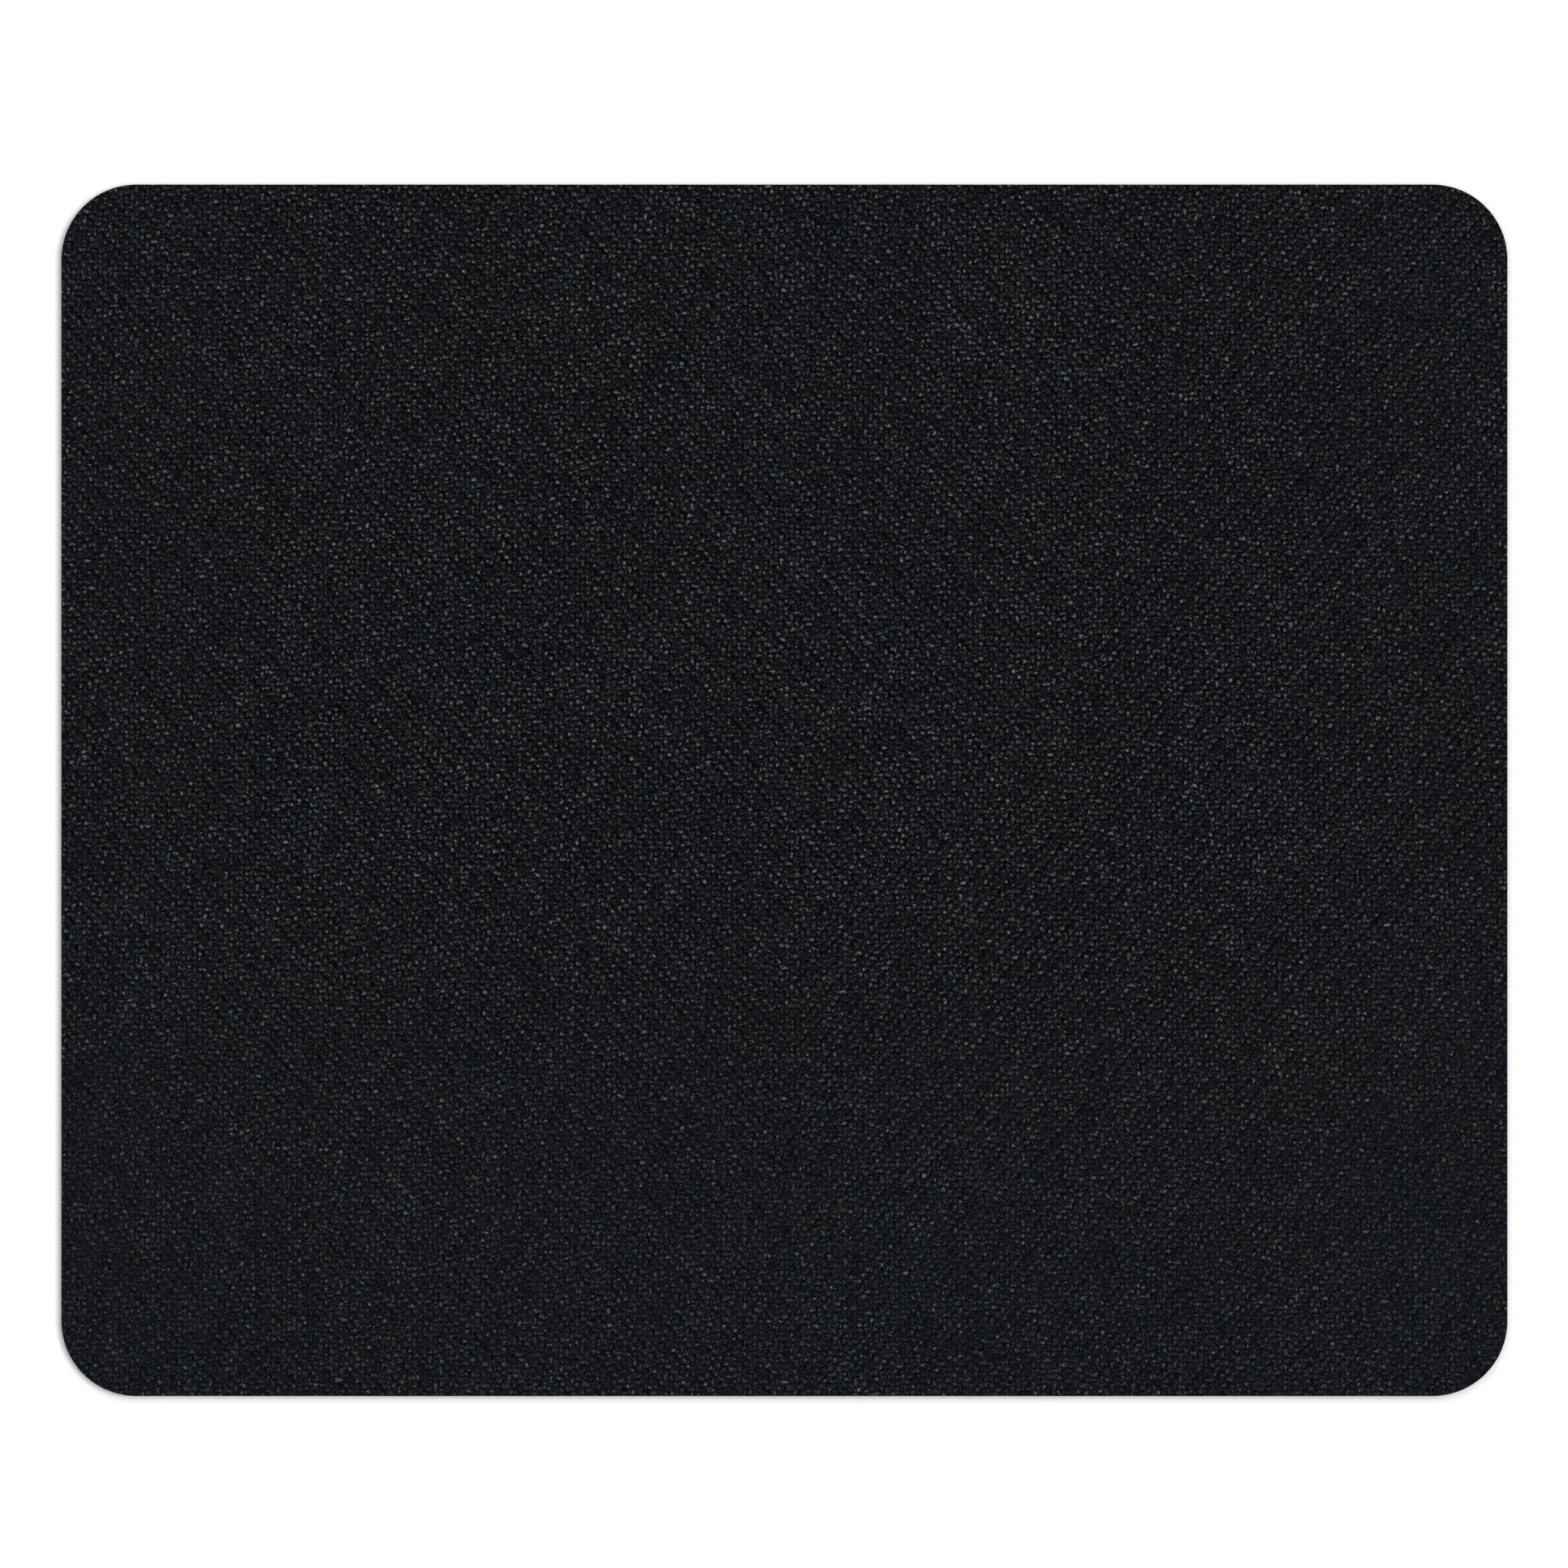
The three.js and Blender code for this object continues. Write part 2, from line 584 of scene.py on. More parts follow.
# %% Build the weave group
def weave_group():
    group = bpy.data.node_groups.new("twill_weave", "ShaderNodeTree")
    for name in ("Across", "Along"):
        group.interface.new_socket(name, in_out="INPUT", socket_type="NodeSocketFloat")
    for name in ("Tone", "Float", "Bands"):
        group.interface.new_socket(name, in_out="OUTPUT", socket_type="NodeSocketFloat")
    given = group.nodes.new("NodeGroupInput")
    result = group.nodes.new("NodeGroupOutput")
    across, along = Number(given.outputs["Across"]), Number(given.outputs["Along"])

    def plate(aside, way, shape):
        """1 on a float and 0 beside it. Aside and way are counted from the float's middle."""
        width = way * shape["taper"] + shape["half_width"]
        beside = width - (aside - way * shape["lean"]).math("ABSOLUTE")
        beyond = -(way - shape["middle"]).math("ABSOLUTE") + shape["half_length"]
        side, end = shape["soft_side"] / 2, shape["soft_end"] / 2
        return beside.ranged(-side, side) * beyond.ranged(-end, end)

    def paint_float_light(covered, aside, way, light):
        """Painted light on a float: how much lighter than the gap it is there, sloping along and
        across it as a lamp to one side would light it, as a logarithm of the brightness.
        """
        return covered * (way * light["along"] + aside * light["aside"] + light["level"] + gap_shade)

    def pit(aside, way, shape):
        """How much darker the painted shade makes it at a pit. Aside and way are counted as in a
        float.
        """
        beside = (aside - shape["aside"]) / shape["half_width"]
        beyond = (way - shape["way"]) / shape["half_length"]
        return bell(beside, beyond) * shape["depth"]

    # The float of the nearest warp yarn, and that of the nearest weft yarn, each with its painted
    # light
    warp = (across - warp_float["shift"]).floor()
    aside = across - (warp_float["shift"] + 0.5) - warp
    way = (along + warp - 1).wrapped()
    warp_plate = plate(aside, way, warp_float)
    warp_tone = paint_float_light(warp_plate, aside, way, warp_painted_light)

    weft = (along - weft_float["shift"]).floor()
    aside = along - (weft_float["shift"] + 0.5) - weft
    way = (across + weft - 3).wrapped()
    weft_plate = plate(aside, way, weft_float)
    weft_tone = paint_float_light(weft_plate, aside, way, weft_painted_light)
    warp_on_top = warp_tone.above(weft_tone)

    # The four painted shades in the gap: below a weft float, right of a warp float, and past the end
    # of each
    gap = (along + 0.5).floor()
    pit_shade = pit(along - gap, (across + gap - 3).wrapped(), below_weft)
    gap = (across - 0.5).floor()
    pit_shade = pit_shade + pit(across - gap, (along + gap - 1).wrapped(), right_of_warp)
    gap = across.floor()
    pit_shade = pit_shade + pit(across - gap, (along + gap - 1).wrapped(), past_warp_end)
    gap = along.floor()
    pit_shade = pit_shade + pit(along - gap, (across + gap - 3).wrapped(), past_weft_end)

    # The bands of painted light and shade: noise along the yarn on top, far off in the other direction
    # for each yarn
    warp = (across - warp_float["shift"]).floor()
    weft = (along - weft_float["shift"]).floor()
    spot = group.nodes.new("ShaderNodeCombineXYZ")
    band_place = pick(warp_on_top, along * (weft_pitch / band_size), across * (warp_pitch / band_size))
    join(band_place, spot.inputs["X"])
    join(pick(warp_on_top, warp * 3.37 + 0.31, weft * 3.73 + 171.6), spot.inputs["Y"])
    spot.inputs["Z"].default_value = 0.5

    # The tone: the painted light of the float on top, less the painted shade of the gap and of the pit
    # spots
    join(warp_tone.math("MAXIMUM", weft_tone) - gap_shade - pit_shade, result.inputs["Tone"])
    join(pick(warp_on_top, warp_plate, weft_plate), result.inputs["Float"])
    join(noise_at(group, spot.outputs["Vector"], 1), result.inputs["Bands"])
    return group


twill_weave = weave_group()
print("weave group:", len(twill_weave.nodes), "nodes")

# %% [markdown]
# ## The cloth's finish
#
# The polyester is dyed black. Most of it reads as a very dark, slightly blue grey. The gaps are
# painted nearly black as shade, and the crowns of the yarns get small soft painted glints of a warmer
# grey. The first step is to find which yarns cross at each place. Each yarn strays a little from its
# even spacing, and where the ribs turn round, the count of the warp yarns runs the other way.

# %% Cloth: where each yarn lies
cloth_finish, tree = new_material("black_twill")
place = tree.nodes.new("ShaderNodeTexCoord").outputs["Object"]
axes = tree.nodes.new("ShaderNodeSeparateXYZ")
tree.links.new(place, axes.inputs["Vector"])
x, y = (Number(axes.outputs[name]) for name in "XY")

stored_turn = tree.nodes.new("ShaderNodeAttribute")
stored_turn.attribute_name = "rib_turn"
ragged_size, ragged_reach = 2.2 * mm, 2.4
ragged = noise_at(tree, place, ragged_size) * ragged_reach
turned = (Number(stored_turn.outputs["Fac"]) + ragged).above(0)
side = turned * -2 + 1
far_stray, near_stray, close_stray = 0.3, 0.16, 0.16


def waver(offset):
    """How far a yarn strays, in yarns: slowly over centimetres, and a little over 1 mm."""
    far = noise_at(tree, place, 22 * mm, offset=offset) * far_stray
    near = noise_at(tree, place, 5 * mm, detail=1, offset=offset + 7) * near_stray
    close = noise_at(tree, place, 0.9 * mm, offset=offset + 11) * close_stray
    return far + near + close


across = (x / warp_pitch) * side + waver(3)
along = y / weft_pitch + across * weft_dip + waver(70)

weave = tree.nodes.new("ShaderNodeGroup")
weave.node_tree = twill_weave
join(across, weave.inputs["Across"])
join(along, weave.inputs["Along"])
woven = {socket.name: Number(socket) for socket in weave.outputs}

# %% [markdown]
# The filaments lie a little differently everywhere and catch the light unevenly, and three kinds of
# noise stand for that: the bands across each yarn, soft lumps, and ripples. Their light spots are
# painted glints, and the rest is tone that differs at random. The ripples come from a Gabor texture,
# which holds waves of one length only. In the photograph nothing finer than half a millimetre shows,
# and ordinary noise alone would add a fine grain that isn't there. The weave's painted light and shade
# is crisper in the middle of the pad than at the front and the sides, where the cloth has been pressed
# flatter, and slower noise lets its brightness drift as cloth does.

# %% Cloth: tone
waves_each = 1.3


def ripples_at(tree, place, length):
    """Noise about 0 that is all of one wavelength, in metres, and runs in every direction."""
    node = tree.nodes.new("ShaderNodeTexGabor")
    node.inputs["Frequency"].default_value = waves_each
    node.inputs["Scale"].default_value = 1 / (waves_each * length)
    node.inputs["Anisotropy"].default_value = 0
    tree.links.new(place, node.inputs["Vector"])
    return Number(node.outputs["Value"]) - 0.5


weave_gain, weave_middle, band_gain = 1.15, 0.35, 3.8
lump_size, lump_gain = 0.42 * mm, 4.3
ripple_length, ripple_gain, loose_ripple_gain = 0.70 * mm, 2.9, 2.7
slow_gain, cloud_gain, middle_tone = 0.54, 0.22, 0.17
crisp_front, crisp_back, crisp_sides = 0.66, 0.95, 0.84
crisp_clouds, crisp_filaments = 0.25, 0.6

clouds = noise_at(tree, place, 24 * mm, detail=2)
front = y.ranged(-70 * mm, 0, crisp_front, 1)
back = y.ranged(55 * mm, 95 * mm, 1, crisp_back)
sides = x.math("ABSOLUTE").ranged(70 * mm, 112 * mm, 1, crisp_sides)
crisp = front * back * sides + clouds * crisp_clouds

lumps = noise_at(tree, place, lump_size, offset=101)
ripples = ripples_at(tree, place, ripple_length)
slow = noise_at(tree, place, 7 * mm, detail=2, roughness=0.75, offset=31)
# Painted glints and tone that differs at random, from the filaments, mostly on the floats
filaments = woven["Bands"] * band_gain + lumps * lump_gain + ripples * ripple_gain
filaments = woven["Float"] * filaments + ripples * loose_ripple_gain
filaments = filaments * (crisp * crisp_filaments + (1 - crisp_filaments))
tone = (woven["Tone"] + weave_middle) * weave_gain * crisp + filaments
tone = tone + slow * slow_gain + clouds * cloud_gain + middle_tone

# %% [markdown]
# So far the tone is a logarithm: one more means 2.7 times the brightness. A colour ramp turns it into
# a colour. Each of its stops is written as a brightness against the middle tone. They go from a bluish
# near-black of painted shade in the gaps to a grey that is nearly neutral on the painted glints.

# %% Cloth: colour for a tone
darkest, lightest = -3.0, 2.8


def ramp_place(brightness):
    """Where the ramp holds the tone that is this many times the middle one's brightness."""
    return (math.log(brightness) - darkest) / (lightest - darkest)


# The darkest stops give the painted shade of the gaps, and the lightest ones the painted glints on the
# crowns.
cloth_tones = (
    (0.063, (0.0004, 0.0006, 0.0010)),
    (0.147, (0.0011, 0.0014, 0.0022)),
    (0.316, (0.0026, 0.0030, 0.0040)),
    (0.505, (0.0042, 0.0048, 0.0062)),
    (0.90, (0.0077, 0.0085, 0.0103)),
    (1.61, (0.0143, 0.0153, 0.0176)),
    (2.94, (0.0268, 0.0279, 0.0303)),
    (6.2, (0.0569, 0.0586, 0.0610)),
    (15.6, (0.1435, 0.1479, 0.1502)),
)


def tone_ramp(tree, tone, tones):
    """Colours for a tone, from (brightness against the middle, colour) pairs."""
    node = tree.nodes.new("ShaderNodeValToRGB")
    stops = node.color_ramp.elements
    while len(stops) < len(tones):
        stops.new(0.5)
    for stop, (brightness, colour) in zip(stops, tones):
        stop.position = ramp_place(brightness)
        stop.color = (*colour, 1)
    join((tone - darkest) / (lightest - darkest), node.inputs["Fac"])
    return node.outputs["Color"]


dark_to_light = tone_ramp(tree, tone, cloth_tones)

# %% [markdown]
# No dye takes quite evenly. Each crossing is a little warmer or cooler than the next, with a
# faint green or purple cast besides. Over a few centimetres the bath leaves a slow drift too,
# and the front of the pad is a touch bluer than the rest. The tint multiplies the colour, so
# black stays black. It is stronger on dark yarns than on light ones.

# %% Cloth: dye
def tinted(tree, colour, warmth, green):
    """The colour with more red and less blue by a share, and more green by another."""
    tint = tree.nodes.new("ShaderNodeCombineColor")
    join(warmth + 1, tint.inputs["Red"])
    join(green + 1, tint.inputs["Green"])
    join(-warmth + 1, tint.inputs["Blue"])
    dyed = tree.nodes.new("ShaderNodeMix")
    dyed.data_type = "RGBA"
    dyed.blend_type = "MULTIPLY"
    dyed.inputs["Factor"].default_value = 1
    tree.links.new(colour, dyed.inputs["A"])
    tree.links.new(tint.outputs["Color"], dyed.inputs["B"])
    return dyed.outputs["Result"]


crossing_dye, lot_dye, front_blue, green_dye = 0.52, 0.14, 0.035, 0.46

dyed_crossings = noise_at(tree, place, 0.62 * mm, offset=47)
dyed_lots = noise_at(tree, place, 30 * mm, detail=2, offset=59)
bluer = y.ranged(-90 * mm, -30 * mm, front_blue, 0)
warmth = dyed_crossings * crossing_dye + dyed_lots * lot_dye - bluer
green = noise_at(tree, place, 0.5 * mm, offset=83) * green_dye
strength = tone.ranged(-2.0, 1.6, 1.3, 0.85)
cloth_colour = tinted(tree, dark_to_light, warmth * strength, green * strength)

# %% [markdown]
# The finish is nearly matt. Height goes into a bump so that the yarns turn to and from the
# lamp, roughness drops a little on the crowns, where the fibres lie in line, and a breath of
# sheen stands for loose fibre that shows when the cloth is seen from low down.

# %% Cloth: surface
def finish_surface(tree, colour, roughness, height, bump_depth, specular, sheen=0):
    """Ends a material: a principled surface with a colour, a roughness and a bumped height."""
    surface = tree.nodes.new("ShaderNodeBsdfPrincipled")
    bump = tree.nodes.new("ShaderNodeBump")
    output = tree.nodes.new("ShaderNodeOutputMaterial")
    surface.inputs["Specular IOR Level"].default_value = specular
    surface.inputs["Sheen Weight"].default_value = sheen
    surface.inputs["Sheen Roughness"].default_value = 0.5
    bump.inputs["Distance"].default_value = bump_depth
    tree.links.new(colour, surface.inputs["Base Color"])
    join(roughness, surface.inputs["Roughness"])
    join(height, bump.inputs["Height"])
    tree.links.new(bump.outputs["Normal"], surface.inputs["Normal"])
    tree.links.new(surface.outputs["BSDF"], output.inputs["Surface"])


relief = woven["Float"] + woven["Bands"] + lumps
roughness = woven["Float"].ranged(0, 1, 1.0, 0.78)
finish_surface(tree, cloth_colour, roughness, relief, 0.02 * mm, specular=0.01, sheen=0.002)
cloth.data.materials.append(cloth_finish)
print("cloth finish:", len(tree.nodes), "nodes")

# %% [markdown]
# ## The glue film
#
# The hot-melt film shows only as a hairline between cloth and sponge. Heat and pressure
# squeeze it out of the cut a little, more in some places than in others. It starts as a
# circle that is drawn out to the pad's outline, which gives evenly spaced vertices, and is
# extruded upwards in rows. How far round the outline each vertex lies is kept on the mesh
# for the flat map that comes later.

# %% Model the film
def start_from_outline(name, step, inset, height):
    """A flat piece inside the outline, with vertices a step apart round it."""
    fresh_start()
    count = round(outline_length / step)
    bpy.ops.mesh.primitive_circle_add(vertices=count, radius=half_width, fill_type="NGON")
    piece = take_up(name)
    way_round = piece.data.attributes.new("way_round", "FLOAT", "POINT")
    for vertex in piece.data.vertices:
        way = outline_length * vertex.index / count
        corner = outline_at(way)
        place, _ = outline_near(corner.x, corner.y, inset)
        vertex.co = (place.x, place.y, height)
        way_round.data[vertex.index].value = way
    return piece


def extrude_rows(piece, rows, waver):
    """Extrudes the face upwards to each (inset, height), with a waver for every vertex."""
    bpy.ops.object.mode_set(mode="EDIT")
    bpy.ops.mesh.select_all(action="SELECT")
    for inset, height in rows:
        bpy.ops.mesh.extrude_region()
        move_rim(piece, inset, height, lambda place, outward: waver(place, height))
    bpy.ops.mesh.select_all(action="SELECT")
    bpy.ops.mesh.normals_make_consistent(inside=False)
    bpy.ops.object.mode_set(mode="OBJECT")
    bpy.ops.object.shade_smooth_by_angle(angle=math.radians(60))


film_inset = 0.02 * mm
film_thickness = film_high.z - film_low.z
bead_size, bead_stand, bead_swell = 2.3 * mm, 0.012 * mm, 0.03 * mm


def squeezed(place, height):
    """The film stands out by a few hundredths of a millimetre, in slow lumps."""
    lump = noise.noise(Vector((place.x, place.y, 0)) / bead_size)
    bead = math.sin(math.pi * (height - film_low.z) / film_thickness)
    return (bead_stand + bead_swell * lump) * bead, 0


film = start_from_outline("glue_film", 0.6 * mm, film_inset, film_low.z)
film_rows = [(film_inset, film_low.z + film_thickness * share) for share in (0.25, 0.5, 0.75, 1)]
extrude_rows(film, film_rows, squeezed)
print("film:", triangles(film), "triangles")

# %% [markdown]
# Cooled hot-melt glue is smoother than anything round it, so its hairline has a soft gloss
# that comes and goes. One noise of streaks sets its colour, its gloss and its height.

# %% Finish the film
film_finish, tree = new_material("hot_melt_film")
place = tree.nodes.new("ShaderNodeTexCoord").outputs["Object"]
streaks = noise_at(tree, place, 1.8 * mm, detail=3)
film_tones = (
    (0.45, (0.010, 0.011, 0.013)),
    (1.0, (0.022, 0.024, 0.027)),
    (2.2, (0.045, 0.047, 0.050)),
)
film_colour = tone_ramp(tree, streaks * 2.4, film_tones)
film_roughness = streaks.ranged(-0.3, 0.3, 0.35, 0.6)
finish_surface(tree, film_colour, film_roughness, streaks, 0.03 * mm, specular=0.4)
film.data.materials.append(film_finish)

# %% [markdown]
# ## The sponge core
#
# The press squeezes the sponge while it cuts, and the cut edge springs back hollow. The
# blade opens the sponge's cells, so the edge is full of small pores. The wall is extruded in
# a dozen rows round the same outline. Each vertex is drawn in by the hollow, by a slow
# waver, and by the nearest pore if it lies in one. Finer pores are left to the finish.

# %% Model the sponge
sponge_hollow = 0.18 * mm
sponge_rows_count = 12
pore_size, pore_reach, pore_depth = 0.62 * mm, 0.42, 0.10 * mm
wall_waver, wall_grain = 0.035 * mm, 0.02 * mm


def pored(place, height):
    """How far the cut edge stands out there: inwards at a pore, and not at all at the top."""
    if height > sponge_high.z - 0.01 * mm:
        return 0, 0
    spot = Vector((place.x, place.y, height))
    cell = noise.voronoi(spot / pore_size)[0][0]
    pit = max(0.0, 1 - cell / pore_reach) ** 0.7
    slow = noise.noise(spot / (3.5 * mm)) * wall_waver
    fine = noise.noise(spot / (0.5 * mm)) * wall_grain
    return slow + fine - pit * pore_depth, 0


sponge = start_from_outline("sponge", 0.27 * mm, 0, sponge_low.z)
sponge_thickness = sponge_high.z - sponge_low.z
sponge_rows = [
    (
        sponge_hollow * math.sin(math.pi * row / sponge_rows_count),
        sponge_low.z + sponge_thickness * row / sponge_rows_count,
    )
    for row in range(1, sponge_rows_count + 1)
]
extrude_rows(sponge, sponge_rows, pored)
print("sponge:", triangles(sponge), "triangles")

# %% [markdown]
# A cut pore is a hole in a slightly dusty wall, and shade falls into it. Two sizes of cells from a
# smooth Voronoi texture stand for the pores that are too fine to model. They darken the colour with
# painted shade, roughen it and sink the bump, over a slow blotch like the one that rubber dust leaves.

# %% Finish the sponge
sponge_finish, tree = new_material("sponge_rubber")
place = tree.nodes.new("ShaderNodeTexCoord").outputs["Object"]


def pores(tree, place, size):
    """1 in the middle of a pore and 0 on the wall between two."""
    cells = tree.nodes.new("ShaderNodeTexVoronoi")
    cells.feature = "SMOOTH_F1"
    cells.inputs["Scale"].default_value = 1 / size
    cells.inputs["Smoothness"].default_value = 0.3
    tree.links.new(place, cells.inputs["Vector"])
    return Number(cells.outputs["Distance"]).ranged(0.12, 0.5, 1, 0)


coarse, fine = pores(tree, place, 0.34 * mm), pores(tree, place, 0.16 * mm)
blotch = noise_at(tree, place, 2.5 * mm, detail=3)
depth = coarse * 0.7 + fine * 0.45
sponge_tones = (
    (0.3, (0.0020, 0.0022, 0.0026)),
    (0.6, (0.0058, 0.0062, 0.0070)),
    (1.0, (0.0130, 0.0137, 0.0150)),
    (1.8, (0.0330, 0.0340, 0.0360)),
)
# The pores darken the colour: painted shade in the holes.
sponge_colour = tone_ramp(tree, blotch * 0.9 - depth * 1.1 + 0.35, sponge_tones)
sponge_roughness = depth.ranged(0, 1, 0.88, 1.0)
finish_surface(tree, sponge_colour, sponge_roughness, -depth, 0.06 * mm, specular=0.12)
sponge.data.materials.append(sponge_finish)

# %% [markdown]
# ## The grip skin
#
# The underside isn't in the photograph. Pads of this kind have a dense rubber skin with a
# fine moulded net: flat lands that grip the desk round shallow lozenge-shaped recesses. The
# net starts as a grid that is turned by 45 degrees and stretched into lozenges. Planes along
# the outline cut it to shape, as the die does, and then every lozenge is inset twice: once
# for its share of the land, and once with depth for the sloping side of the recess. A whole
# number of lozenges, each about 4.2 by 2.6 mm, fits between the rims, so no side of the pad
# cuts off only their tips. A scrap too small to be inset stays flat.

# %% Cut a net of lozenges to the outline
rim_chamfer = 0.08 * mm
lozenges_along, lozenges_across = 56, 76
lozenge_length = 2 * (half_length - rim_chamfer) / lozenges_along
lozenge_width = 2 * (half_width - rim_chamfer) / lozenges_across
corner_cuts = 16
cut_precision = 0.001 * mm

fresh_start()
cell_diagonal = math.sqrt(2)
cells_each_way = math.ceil(half_length / lozenge_length + half_width / lozenge_width) * 2 + 2
bpy.ops.mesh.primitive_grid_add(
    x_subdivisions=cells_each_way,
    y_subdivisions=cells_each_way,
    size=cells_each_way / cell_diagonal,
    rotation=(0, 0, math.radians(45)),
)
grip = take_up("grip_net")
grip.scale = (lozenge_length, lozenge_width, 1)
bpy.ops.object.transform_apply(scale=True)

bpy.ops.object.mode_set(mode="EDIT")
bpy.ops.mesh.select_all(action="SELECT")
bpy.ops.mesh.flip_normals()
for corner_x, corner_y, first_angle in (
    (core_x, core_y, 0),
    (-core_x, core_y, 90),
    (-core_x, -core_y, 180),
    (core_x, -core_y, 270),
):
    for cut in range(corner_cuts + 1):
        angle = math.radians(first_angle + 90 * cut / corner_cuts)
        outward = Vector((math.cos(angle), math.sin(angle), 0))
        on_plane = Vector((corner_x, corner_y, 0)) + outward * (corner_radius - rim_chamfer)
        bpy.ops.mesh.select_all(action="SELECT")
        bpy.ops.mesh.bisect(
            plane_co=on_plane,
            plane_no=outward,
            clear_outer=True,
            threshold=cut_precision,
        )

# %% Sink the recesses and close the skin
land_width = 0.5 * mm
recess_slope = 0.22 * mm
recess_depth = 0.13 * mm
least_side = 0.12 * mm


def shortest_side(face, inset):
    """The shortest side that the face has left once it is drawn in all round."""
    left = []
    for corner in face.loops:
        halves = (corner.calc_angle() / 2, corner.link_loop_next.calc_angle() / 2)
        lost = sum(inset / math.tan(half_angle) for half_angle in halves)
        left.append(corner.edge.calc_length() - lost)
    return min(left)


bpy.ops.mesh.select_mode(type="FACE")
shape = bmesh.from_edit_mesh(grip.data)
for face in shape.faces:
    face.select = shortest_side(face, land_width / 2 + recess_slope) > least_side
print("recesses:", sum(face.select for face in shape.faces), "of", len(shape.faces), "lozenges")
bmesh.update_edit_mesh(grip.data)
bpy.ops.mesh.inset(thickness=land_width / 2, use_individual=True)
bpy.ops.mesh.inset(thickness=recess_slope, depth=-recess_depth, use_individual=True)

bpy.ops.mesh.select_mode(type="EDGE")
bpy.ops.mesh.select_all(action="DESELECT")
bpy.ops.mesh.select_non_manifold()
for inset, height in ((0, rim_chamfer), (0, grip_high.z)):
    bpy.ops.mesh.extrude_region()
    move_rim(grip, inset, height)
bpy.ops.mesh.edge_face_add()
bpy.ops.mesh.select_all(action="SELECT")
bpy.ops.mesh.normals_make_consistent(inside=False)
bpy.ops.object.mode_set(mode="OBJECT")
bpy.ops.object.shade_smooth_by_angle(angle=math.radians(25))
print("grip skin:", triangles(grip), "triangles")

# %% [markdown]
# Dense moulded rubber is nearly black, with a very fine grain and the faint grey bloom that rubber
# sweats out in patches. The desk rubs the lands a little smoother than the recesses, and the colour is
# a little darker in the recesses than on the lands. The height above the desk tells the two apart, so
# it is read from the place.

# %% Finish the grip skin
grip_finish, tree = new_material("moulded_rubber")
place = tree.nodes.new("ShaderNodeTexCoord").outputs["Object"]
grain = noise_at(tree, place, 0.12 * mm, detail=2)
bloom = noise_at(tree, place, 18 * mm, detail=4, roughness=0.6)
axes = tree.nodes.new("ShaderNodeSeparateXYZ")
tree.links.new(place, axes.inputs["Vector"])
sunk = Number(axes.outputs["Z"]).ranged(0, recess_depth)
grip_tones = (
    (0.4, (0.0040, 0.0043, 0.0048)),
    (1.0, (0.0097, 0.0103, 0.0110)),
    (2.0, (0.0250, 0.0258, 0.0268)),
)
grip_colour = tone_ramp(tree, bloom * 1.6 + grain * 0.8 - sunk * 0.7 + 0.4, grip_tones)
grip_roughness = bloom.ranged(-0.3, 0.3, 0.60, 0.78) + sunk * 0.12
finish_surface(tree, grip_colour, grip_roughness, grain, 0.012 * mm, specular=0.3)
grip.data.materials.append(grip_finish)

# %% [markdown]
# ## Flat maps for the bake
#
# A bake of the colours puts them onto square pictures of 1024 pixels. The weave needs all of them, and
# so does the net on the underside. So these two plies bring their own maps: the face that shows fills
# the map nearly from side to side, the rim is rolled out flat round it, and the hidden back gets a
# small copy in the strip that is left.

# %% Lay a ply out with its face first
margin = 0.006
spread = 0.75 * mm
back_share = 0.126
bake_pixels = 1024


def lay_out(piece, face_height, rim, hidden_way):
    """Maps a face at a height, its rim of a width, and the back that looks up (1) or down (-1)."""
    layer = piece.data.uv_layers.new(name="OFBake")
    scale = (1 - 2 * margin) / (2 * (half_length + spread))
    back_scale = back_share / (2 * half_width)
    back_middle = 1 - margin - back_share / 2
    for polygon in piece.data.polygons:
        hidden = polygon.normal.z * hidden_way > 0.9
        for loop in polygon.loop_indices:
            corner = piece.data.vertices[piece.data.loops[loop].vertex_index].co
            if hidden:
                place = (0.5 + corner.x * back_scale, back_middle + corner.y * back_scale)
            else:
                edge, outward = outline_near(corner.x, corner.y, 0)
                flat = Vector((corner.x, corner.y))
                inland = (edge - flat).dot(outward)
                if inland < rim - 0.002 * mm:
                    rolled = (rim - inland) / 2 + abs(corner.z - face_height)
                    flat = edge + outward * (rolled - rim)
                place = (0.5 + flat.x * scale, margin + (flat.y + half_width + spread) * scale)
            layer.data[loop].uv = place
    print(piece.name, "map:", round(scale * bake_pixels * mm, 2), "pixels to a millimetre")


lay_out(cloth, cloth_high.z, rim_inwards, -1)
lay_out(grip, grip_low.z, rim_chamfer, 1)

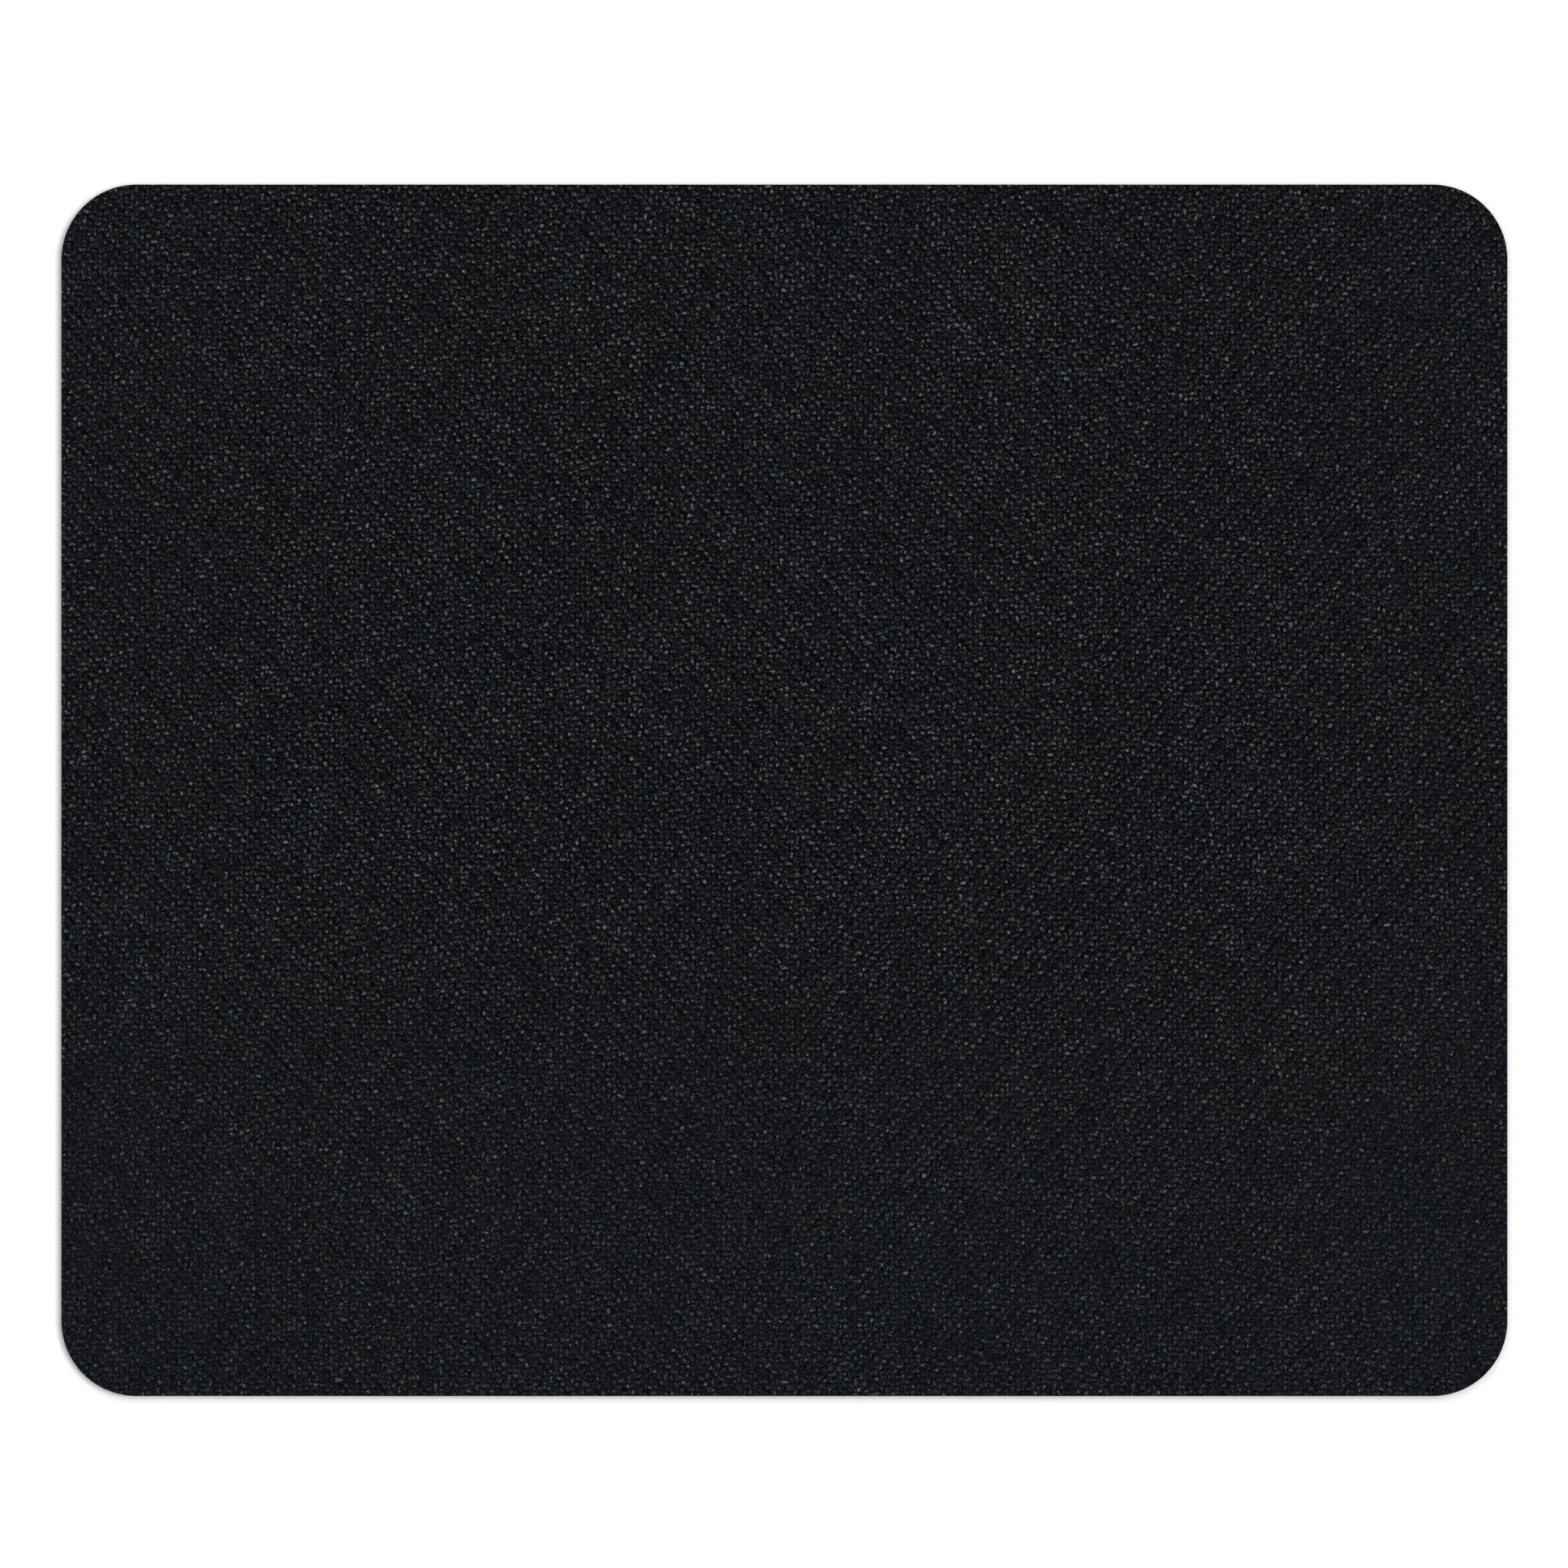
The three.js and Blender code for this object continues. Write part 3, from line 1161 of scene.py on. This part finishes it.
# %% [markdown]
# Of the sponge and the film only the cut edge shows, a band more than 800 mm long and about
# 2 mm high or less. It is folded into rows, one above the other, as text is folded into
# lines, and the two hidden faces lie small above them.

# %% Fold a ply's wall into rows
def fold_wall(piece, bottom, height, row_count):
    """Maps the wall in rows, and the two faces above them."""
    layer = piece.data.uv_layers.new(name="OFBake")
    way_round = piece.data.attributes["way_round"].data
    row_length = outline_length / row_count
    scale = (1 - 2 * margin) / (1.02 * row_length)
    row_height = height * scale + margin
    rows_top = margin + row_count * row_height
    face_scale = min(0.48 / (2 * half_length), (1 - margin - rows_top) / (2 * half_width))
    for polygon in piece.data.polygons:
        corners = [piece.data.loops[loop].vertex_index for loop in polygon.loop_indices]
        ways = [way_round[corner].value for corner in corners]
        ways = [way + outline_length * (max(ways) - way > outline_length / 2) for way in ways]
        row = int(min(ways) / row_length + 1e-6)
        left_or_right = 0.25 if polygon.normal.z > 0 else 0.75
        face_middle = Vector((left_or_right, rows_top + face_scale * half_width))
        for loop, corner, way in zip(polygon.loop_indices, corners, ways):
            place = piece.data.vertices[corner].co
            if len(corners) > 4:
                layer.data[loop].uv = face_middle + Vector((place.x, place.y)) * face_scale
            else:
                layer.data[loop].uv = (
                    margin + (way - row * row_length) * scale,
                    margin + row * row_height + (place.z - bottom) * scale,
                )
    piece.data.attributes.remove(piece.data.attributes["way_round"])
    print(piece.name, "map:", round(scale * bake_pixels * mm, 2), "pixels to a millimetre")


fold_wall(sponge, sponge_low.z, sponge_high.z - sponge_low.z, 16)
fold_wall(film, film_low.z, film_high.z - film_low.z, 40)

# %% [markdown]
# ## The pieces on the body
#
# Every piece rides on the pad's one body and stands for its ply in the frame, whose own box is hidden.

# %% Put the pieces on the body and hide the frame's plies
for piece, node, slot in (
    (cloth, "cloth_face", "cloth"),
    (film, "adhesive_film", "film"),
    (sponge, "sponge_core", "sponge"),
    (grip, "grip_skin", "grip"),
):
    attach(piece, "root")
    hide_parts(node)
